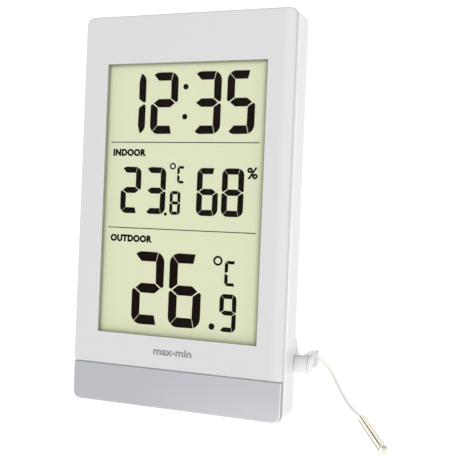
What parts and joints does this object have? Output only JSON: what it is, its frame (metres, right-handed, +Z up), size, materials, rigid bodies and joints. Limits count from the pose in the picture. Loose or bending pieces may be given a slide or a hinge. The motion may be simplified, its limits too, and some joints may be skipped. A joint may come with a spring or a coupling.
{
  "type": "maximum minimum thermometer",
  "caption": "Leaning digital indoor and outdoor thermometer with a large recessed display, fold-out foot, rear battery bay and a wired outdoor probe on a right-angle plug.",
  "frame": {"origin": "centre of the station's own bounding box, without the sensor lead, on the table surface", "axes": "+X to the right as the display is read, +Y away from the reader, +Z up from the table"},
  "size_m": [0.142, 0.0622, 0.1707],
  "materials": {
    "face_silver": "satin light silver-grey moulding",
    "strip_silver": "satin silver-grey lacquer",
    "clear_window": "clear acrylic",
    "lcd_panel": "pale yellow-green display with dark segments",
    "reflector_film": "satin film",
    "inner_white": "plain moulding",
    "soft_rubber": "matt rubber",
    "board_green": "solder mask",
    "screw_steel": "zinc plated",
    "chip_resin": "black resin",
    "bright_nickel": "nickel plate",
    "sensor_white": "plain moulding",
    "bead_glass": "glazed bead",
    "switch_black": "plain moulding",
    "socket_black": "plain moulding",
    "case_white": "polished white moulding",
    "cell_jacket": null,
    "button_grey": "satin grey moulding",
    "plug_white": "semi-gloss white moulding",
    "cable_ivory": "translucent ivory vinyl",
    "probe_nickel": "warm polished nickel",
    "seal_grey": "potting resin"
  },
  "bodies": {
    "station": {"front_frame": "face_silver", "base_strip": "strip_silver", "display_lens": "clear_window", "lcd_glass": "lcd_panel", "lcd_reflector": "reflector_film", "lcd_carrier": "inner_white", "zebra_strip": "soft_rubber", "main_board": "board_green", "board_screws": "screw_steel", "driver_chip": "chip_resin", "clock_crystal": "bright_nickel", "humidity_sensor": "sensor_white", "indoor_thermistor": "bead_glass", "key_switches": "switch_black", "sensor_socket": "socket_black", "socket_contacts": "bright_nickel", "rear_case": "case_white", "case_screws": "screw_steel", "battery_lower": "cell_jacket", "battery_upper": "cell_jacket", "battery_contacts": "bright_nickel", "battery_springs": "bright_nickel", "base_pads": "soft_rubber"},
    "door": {"battery_door": "case_white"},
    "foot": {"fold_out_foot": "case_white", "foot_pads": "soft_rubber"},
    "set_key": {"set_button": "button_grey"},
    "plus_key": {"plus_button": "button_grey"},
    "max_min_key": {"max_min_button": "button_grey"},
    "unit_key": {"unit_button": "button_grey"},
    "lead": {"plug_body": "plug_white", "plug_pin": "bright_nickel", "sensor_cable": "cable_ivory", "probe_tube": "probe_nickel", "probe_seal": "seal_grey", "probe_thermistor": "bead_glass"}
  },
  "joints": [
    {"name": "door_slide", "type": "slide", "parent": "station", "child": "door", "axis": [0, -0.1219, -0.9925], "range_m": [0, 0.01]},
    {"name": "foot_fold", "type": "hinge", "parent": "station", "child": "foot", "pos_m": [0, -0.01149, 0.00709], "axis": [1, 0, 0], "range_deg": [0, 90]},
    {"name": "set_press", "type": "slide", "parent": "station", "child": "set_key", "axis": [0, -0.9925, 0.1219], "range_m": [0, 0.0008], "stiffness_N_per_m": 300, "springref_m": -0.001},
    {"name": "plus_press", "type": "slide", "parent": "station", "child": "plus_key", "axis": [0, -0.9925, 0.1219], "range_m": [0, 0.0008], "stiffness_N_per_m": 300, "springref_m": -0.001},
    {"name": "max_min_press", "type": "slide", "parent": "station", "child": "max_min_key", "axis": [0, -0.9925, 0.1219], "range_m": [0, 0.0008], "stiffness_N_per_m": 300, "springref_m": -0.001},
    {"name": "unit_press", "type": "slide", "parent": "station", "child": "unit_key", "axis": [0, -0.9925, 0.1219], "range_m": [0, 0.0008], "stiffness_N_per_m": 300, "springref_m": -0.001},
    {"name": "plug_pull", "type": "slide", "parent": "station", "child": "lead", "axis": [1, 0, 0], "range_m": [0, 0.016]}
  ]
}
